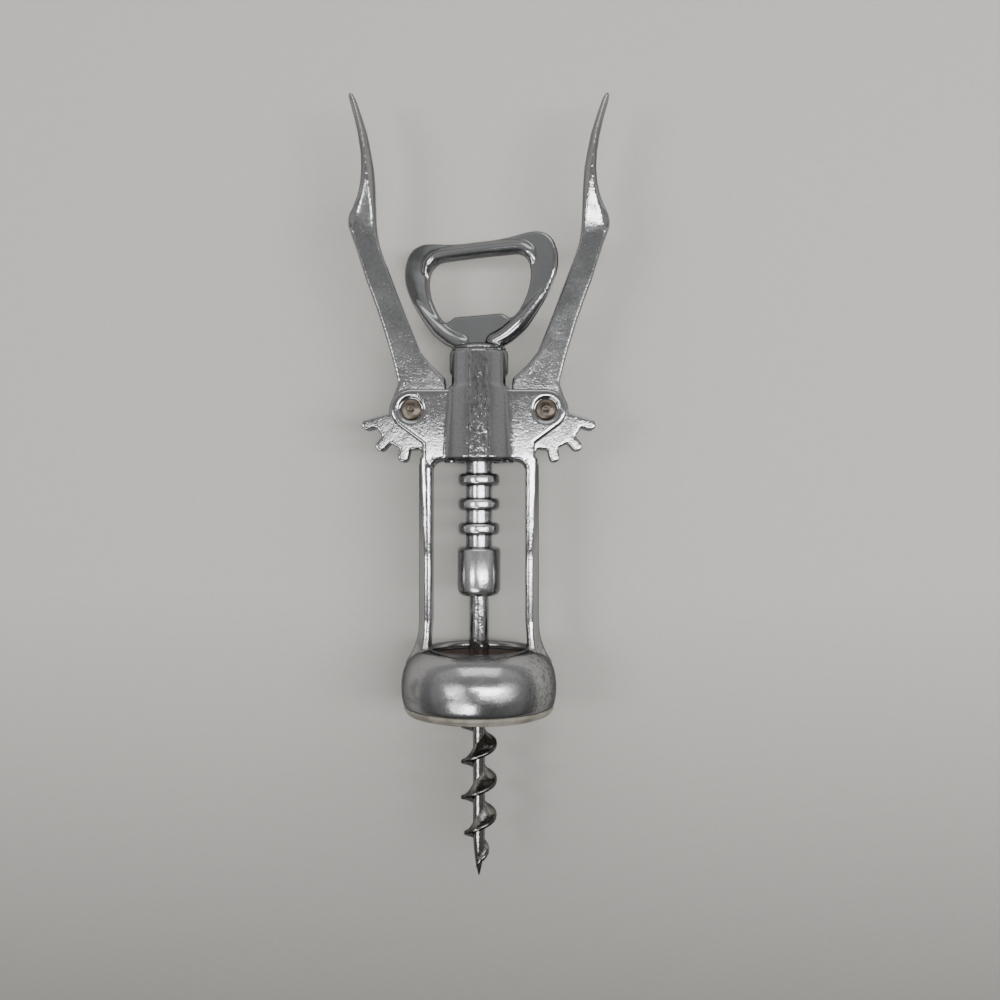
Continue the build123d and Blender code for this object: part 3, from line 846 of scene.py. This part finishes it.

# -------------------------------------------------------------- ring rack
# Turned steel rack: six round teeth on a neck above a plain collar. It is bright, with small pits,
# and dark grease and painted shade in the grooves.

rack_steel = plating(
    "rack_steel", colour=(0.55, 0.55, 0.56), shine=(0.14, 0.26), lumps=0.1, pits=0.5, grime_and_shade=1.0
)

RING_RADIUS = 5.4
RING_WIDTH = 3.2
RING_DEPTH = 3.4
RING_ROUND = 1.05
RING_PITCH = 6.45
RING_COUNT = 6
FIRST_RING = 80.245
COLLAR_TOP = 43.15

# Dark grease and painted shade packed against the sides of the rings, where the neck meets them.
# The row starts half a pitch below the last ring, and share is how far off a ring's middle a place
# is.
finish = Recipe(rack_steel.node_tree)
math = finish.math
height = finish.axes(finish.places)["Y"]
row_foot = (FIRST_RING - RING_PITCH * (RING_COUNT + 0.5)) * MM
up_ring = math("MODULO", math("SUBTRACT", height, row_foot), RING_PITCH * MM)
off_middle = math("ABSOLUTE", math("SUBTRACT", up_ring, RING_PITCH / 2 * MM))
share = math("DIVIDE", off_middle, RING_PITCH * MM)
ring_side = RING_WIDTH / 2
grease_and_shade_bands = [
    ((ring_side - 0.45) / RING_PITCH, (0.0,) * 3),
    (ring_side / RING_PITCH, (0.9,) * 3),
    ((ring_side + 0.55) / RING_PITCH, (0.0,) * 3),
]
above_collar = math("GREATER_THAN", height, (COLLAR_TOP + 0.2) * MM)
grease_and_shade = math("MULTIPLY", finish.bands(share, grease_and_shade_bands), above_collar)
uneven = finish.ramp(finish.noise(420.0, 2.0), 0.35, 0.6, 0.55, 1.0)
cover(finish, math("MULTIPLY", grease_and_shade, uneven), (0.035, 0.03, 0.026))


def ring_row(form, given):
    """Row of equal rings along the screw axis, each a rounded band on the neck."""
    centre = form.math("SUBTRACT", given["Ring radius"], RING_DEPTH / 2 * MM)
    circle = {"Resolution": 128, "Radius": centre}
    path = form.make("GeometryNodeCurvePrimitiveCircle", circle)
    sides = {"Width": RING_DEPTH * MM, "Height": given["Ring width"]}
    band = form.make("GeometryNodeCurvePrimitiveQuadrilateral", sides)
    edges = {"Curve": band, "Count": 6, "Radius": given["Edge round"]}
    rounded = form.make("GeometryNodeFilletCurve", edges, mode="POLY")
    swept = form.make("GeometryNodeCurveToMesh", {"Curve": path, "Profile Curve": rounded})
    upright = {"Geometry": swept, "Rotation": (pi / 2, 0, 0)}
    ring = form.make("GeometryNodeTransform", upright)
    start = point(form, y=given["First ring"])
    stride = point(form, y=form.math("MULTIPLY", given["Ring pitch"], -1))
    row = {"Count": given["Rings"], "Start Location": start, "Offset": stride}
    seats = form.make("GeometryNodeMeshLine", row)
    return form.make("GeometryNodeInstanceOnPoints", {"Points": seats, "Instance": ring})


ring_sizes = {
    "Ring radius": RING_RADIUS,
    "Ring width": RING_WIDTH,
    "Edge round": RING_ROUND,
    "Ring pitch": RING_PITCH,
    "First ring": FIRST_RING,
    "Rings": RING_COUNT,
}
rings = grown("rack_rings", rack_steel, ring_sizes, ring_row)
rack_profile = [
    (2.63, 30.45), (3.9, 30.45), (4.7, 30.7), (5.25, 31.25), (5.5, 31.9), (5.6, 32.8),
    (5.6, 42.3), (5.35, 42.75), (5.1, 42.95), (4.9, COLLAR_TOP), (3.6, COLLAR_TOP),
    (3.45, 43.35), (3.45, 85.0), (3.3, 85.1), (2.63, 85.1),
]
collar = turned("rack_body", rack_profile)
coated(collar, rack_steel, crisp=30)
for piece in (rings, collar):
    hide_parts("ring_rack")
    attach(piece, "rack")

# ------------------------------------------------------------------- worm
# Right-handed steel screw. Its blade is thick at the core and thin at its edge, and fades out at
# the point and under the shank. The steel is dark, and is painted lighter up the shank from 6 to 20
# mm, so it is darker towards the bell.

worm_steel = plating(
    "worm_steel", colour=(0.3, 0.293, 0.285), shine=(0.08, 0.18), lumps=0.5, pits=0.9, grime_and_shade=0.95
)
finish = Recipe(worm_steel.node_tree)
# Painted lighter up the shank from 6 to 20 mm, so the shank is darker towards the bell.
lighter_up_shank = finish.ramp(finish.axes(finish.places)["Y"], 0.006, 0.02, 0, 0.75)
cover(finish, lighter_up_shank, (0.54, 0.54, 0.55))

WORM_TIP = -43.3
CORE_RADIUS = 1.55
SHANK_RADIUS = 2.55


def blade_shape(form, given):
    """Blade along a helix: a grid whose long side runs up the helix and whose
    short side goes round the blade's section."""
    math = form.math
    size = {"Size X": 1.0, "Size Y": 1.0, "Vertices X": 420, "Vertices Y": 25}
    grid = form.make("GeometryNodeMeshGrid", size)
    spot = form.axes(form.make("GeometryNodeInputPosition"))
    along = math("ADD", spot["X"], 0.5)
    round_angle = math("MULTIPLY", math("ADD", spot["Y"], 0.5), 2 * pi)

    rise = math("SUBTRACT", given["Head height"], given["Foot height"])
    height = math("ADD", given["Foot height"], math("MULTIPLY", along, rise))
    climbed = math("DIVIDE", math("SUBTRACT", height, given["Phase height"]), given["Pitch"])
    turn = math("MULTIPLY", climbed, 2 * pi)
    growth = math("POWER", fade(form, along, -0.1, 0.36), 0.8)
    point_end = math("MULTIPLY", growth, fade(form, along, 0.0, 0.05))
    shank_end = math("SUBTRACT", 1.0, fade(form, along, 0.9, 1.02))
    full = math("MULTIPLY", point_end, shank_end)
    sunk = math("ADD", 0.15, math("MULTIPLY", full, 0.4))
    inner = math("MULTIPLY", given["Core radius"], sunk)
    reach = math("MULTIPLY", math("SUBTRACT", given["Blade radius"], inner), full)

    # Section: from root to edge and back. The upper flank is a wide hollow
    # slope, and the under side is nearly square to the screw.
    outward = math("MULTIPLY", math("SUBTRACT", 1.0, math("COSINE", round_angle)), 0.5)
    taper = math("POWER", math("SUBTRACT", 1.0, outward), 2.1)
    bulk = math("MULTIPLY", taper, math("ADD", 0.3, math("MULTIPLY", full, 0.7)))
    flank = math("SINE", round_angle)
    upper = math("GREATER_THAN", flank, 0.0)
    flank_share = math("ADD", 0.12, math("MULTIPLY", upper, 0.76))
    half_edge = math("MULTIPLY", given["Edge thickness"], 0.5)
    swell = math("MULTIPLY", given["Root thickness"], math("MULTIPLY", bulk, flank_share))
    thick = math("ADD", half_edge, swell)
    squared = math("MINIMUM", math("MULTIPLY", math("ABSOLUTE", flank), 3.0), 1.0)
    tilt = math("MULTIPLY", math("MULTIPLY", thick, math("SIGN", flank)), squared)
    radius = math("ADD", inner, math("MULTIPLY", reach, outward))
    right = math("MULTIPLY", radius, math("COSINE", turn))
    back = math("MULTIPLY", radius, math("MULTIPLY", math("SINE", turn), -1.0))
    place = point(form, right, math("ADD", height, tilt), back)
    bent = form.make("GeometryNodeSetPosition", {"Geometry": grid, "Position": place})
    return form.make("GeometryNodeMergeByDistance", {"Geometry": bent, "Distance": 1e-6})


blade_sizes = {
    "Blade radius": 4.75,
    "Core radius": CORE_RADIUS,
    "Pitch": 9.4,
    "Phase height": -8.6,
    "Foot height": -41.6,
    "Head height": 4.0,
    "Root thickness": 5.0,
    "Edge thickness": 1.15,
}
blade = grown("worm_blade", worm_steel, blade_sizes, blade_shape)
form = bmesh.new()
form.from_mesh(blade.data)
bmesh.ops.holes_fill(form, edges=form.edges, sides=30)
bmesh.ops.recalc_face_normals(form, faces=form.faces)
form.to_mesh(blade.data)
form.free()

spindle_profile = [
    (0.0, WORM_TIP), (0.12, WORM_TIP + 0.15), (0.75, WORM_TIP + 2.6), (1.15, WORM_TIP + 5.2),
    (1.45, WORM_TIP + 8.5), (CORE_RADIUS, WORM_TIP + 12.0), (CORE_RADIUS, 4.2), (1.75, 5.4),
    (2.3, 7.2), (SHANK_RADIUS, 8.4), (SHANK_RADIUS, SLEEVE_TOP - 0.2), (2.4, SLEEVE_TOP),
    (0.0, SLEEVE_TOP),
]
spindle = turned("worm_spindle", spindle_profile, around=96, closed_profile=False)
coated(spindle, worm_steel, crisp=40)
for piece in (blade, spindle):
    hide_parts("worm")
    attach(piece, "screw")

# ---------------------------------------------------------- opener handle
# Plated casting: a loop with rounded limbs, a thin web inside them, a bead
# round the top of the opening and a square lip under it that lifts caps. Its
# journal goes down into the sleeve, with the shank pressed into it.

handle_plating = plating(
    "handle_plating",
    colour=(0.345, 0.35, 0.355),
    shine=(0.13, 0.2),
    lumps=0.05,
    pits=0.12,
    grime_and_shade=0.9,
)

HANDLE_TURN = 25.0
LIP_HEIGHT = 104.1
WEB_HALF = 1.1
WEB_EDGE = 0.6
LIMB_RADIUS = 2.3
BEAD_RADIUS = 1.75
BEAD_LIFT = 0.5
SHANK_CLEARANCE = 0.05


def tube(name, path, radii, around=32):
    """Round bar of changing radius along a path of (x, y), with rounded ends."""
    rings = []
    count = len(path)
    for k, place in enumerate(path):
        ahead = Vector(path[min(k + 1, count - 1)]) - Vector(path[max(k - 1, 0)])
        ahead.normalize()
        side = Vector((ahead.y, -ahead.x))
        rings.append((Vector(place), ahead, side, radii[k]))
    for first, sign in ((0, -1), (-1, 1)):
        place, ahead, side, radius = rings[first]
        ends = [
            (place + sign * ahead * radius * sin(t), ahead, side, radius * cos(t))
            for t in (0.5, 1.0, 1.4)
        ]
        rings = list(reversed(ends)) + rings if first == 0 else rings + ends
    turns = [2 * pi * n / around for n in range(around)]
    sections = [
        [
            (place.x + r * cos(t) * side.x, place.y + r * cos(t) * side.y, r * sin(t))
            for t in turns
        ]
        for place, ahead, side, r in rings
    ]
    return lofted(name, sections)


loop_half = curve_through(
    [
        (0.0, 123.35), (5.0, 123.35), (9.3, 123.65), (13.2, 124.2), (16.4, 124.35),
        (19.2, 123.5), (20.9, 121.8), (21.9, 119.4), (22.25, 116.8), (21.9, 113.8),
        (20.8, 110.8), (18.8, 107.0), (16.0, 103.2), (12.4, 99.7), (8.6, 96.9), (6.8, 95.6),
    ],
    5,
)
opening_half = curve_through(
    [
        (0.0, 119.5), (5.0, 119.5), (10.5, 119.15), (13.2, 118.1), (14.5, 116.4), (15.0, 113.8),
        (14.75, 111.2), (14.0, 108.6), (12.4, 105.4), (11.2, 103.8), (10.2, 103.0), (9.2, 102.8),
    ],
    5,
) + [Vector(p) for p in ((8.4, 103.1), (7.6, 103.7), (6.8, LIP_HEIGHT), (0.0, LIP_HEIGHT))]
web_outlines = [both_halves(loop_half), both_halves(opening_half)]
loop_parts = [slab("web", web_outlines, -WEB_HALF, WEB_HALF, WEB_EDGE)]

# The limbs thin out as they go up
limb_line = [
    (4.6, 97.0), (8.2, 98.6), (11.7, 101.2), (14.9, 104.4),
    (17.9, 108.1), (20.2, 111.8), (21.2, 115.0), (21.5, 117.5),
]
for side in (-1, 1):
    limb_path = curve_through([(side * x, y) for x, y in limb_line], 4)
    reach = len(limb_path) - 1
    thinned = [min(1.0, max(0.0, k / reach - 0.3) / 0.42) for k in range(reach + 1)]
    loop_parts.append(tube("limb", limb_path, [LIMB_RADIUS - 1.5 * t for t in thinned]))

# The bead stands out of both faces of the web, and is thinner at its ends
bead_half = [
    (-15.5, 115.9), (-15.55, 117.2), (-14.9, 118.9), (-13.4, 120.3), (-11.2, 120.85), (-6.0, 121.0),
]
bead_line = bead_half + [(0.0, 121.05)] + [(-x, y) for x, y in reversed(bead_half)]
bead_path = curve_through(bead_line, 5)
reach = len(bead_path) - 1
bead_radii = [
    BEAD_RADIUS * min(1.0, 0.3 + 4 * min(k, reach - k) / reach) for k in range(reach + 1)
]
for face in (-1, 1):
    bead = tube("bead", bead_path, bead_radii)
    bead.data.transform(Matrix.Translation((0, 0, face * BEAD_LIFT * MM)))
    loop_parts.append(bead)
for piece in loop_parts:
    piece.data.transform(Matrix.Rotation(-radians(HANDLE_TURN), 4, "Y"))

shoulder = [
    (0.0, 94.75), (7.0, 94.75), (7.15, 94.95), (7.1, 95.3), (6.2, 95.9), (4.6, 96.3), (0.0, 96.5),
]
journal = [(0.0, 85.2), (5.4, 85.2), (5.6, 85.4), (5.6, 95.2), (0.0, 95.2)]
loop_parts += [turned("stem", profile, around=96) for profile in (shoulder, journal)]
loop = cast("cap_lifter_loop", loop_parts, fineness=0.27, rounding=3)
cut_away(loop, [axis_drill(SHANK_RADIUS + SHANK_CLEARANCE, 80.0, SLEEVE_TOP, 48)])
coated(loop, handle_plating)
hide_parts("opener_handle")
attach(loop, "screw")
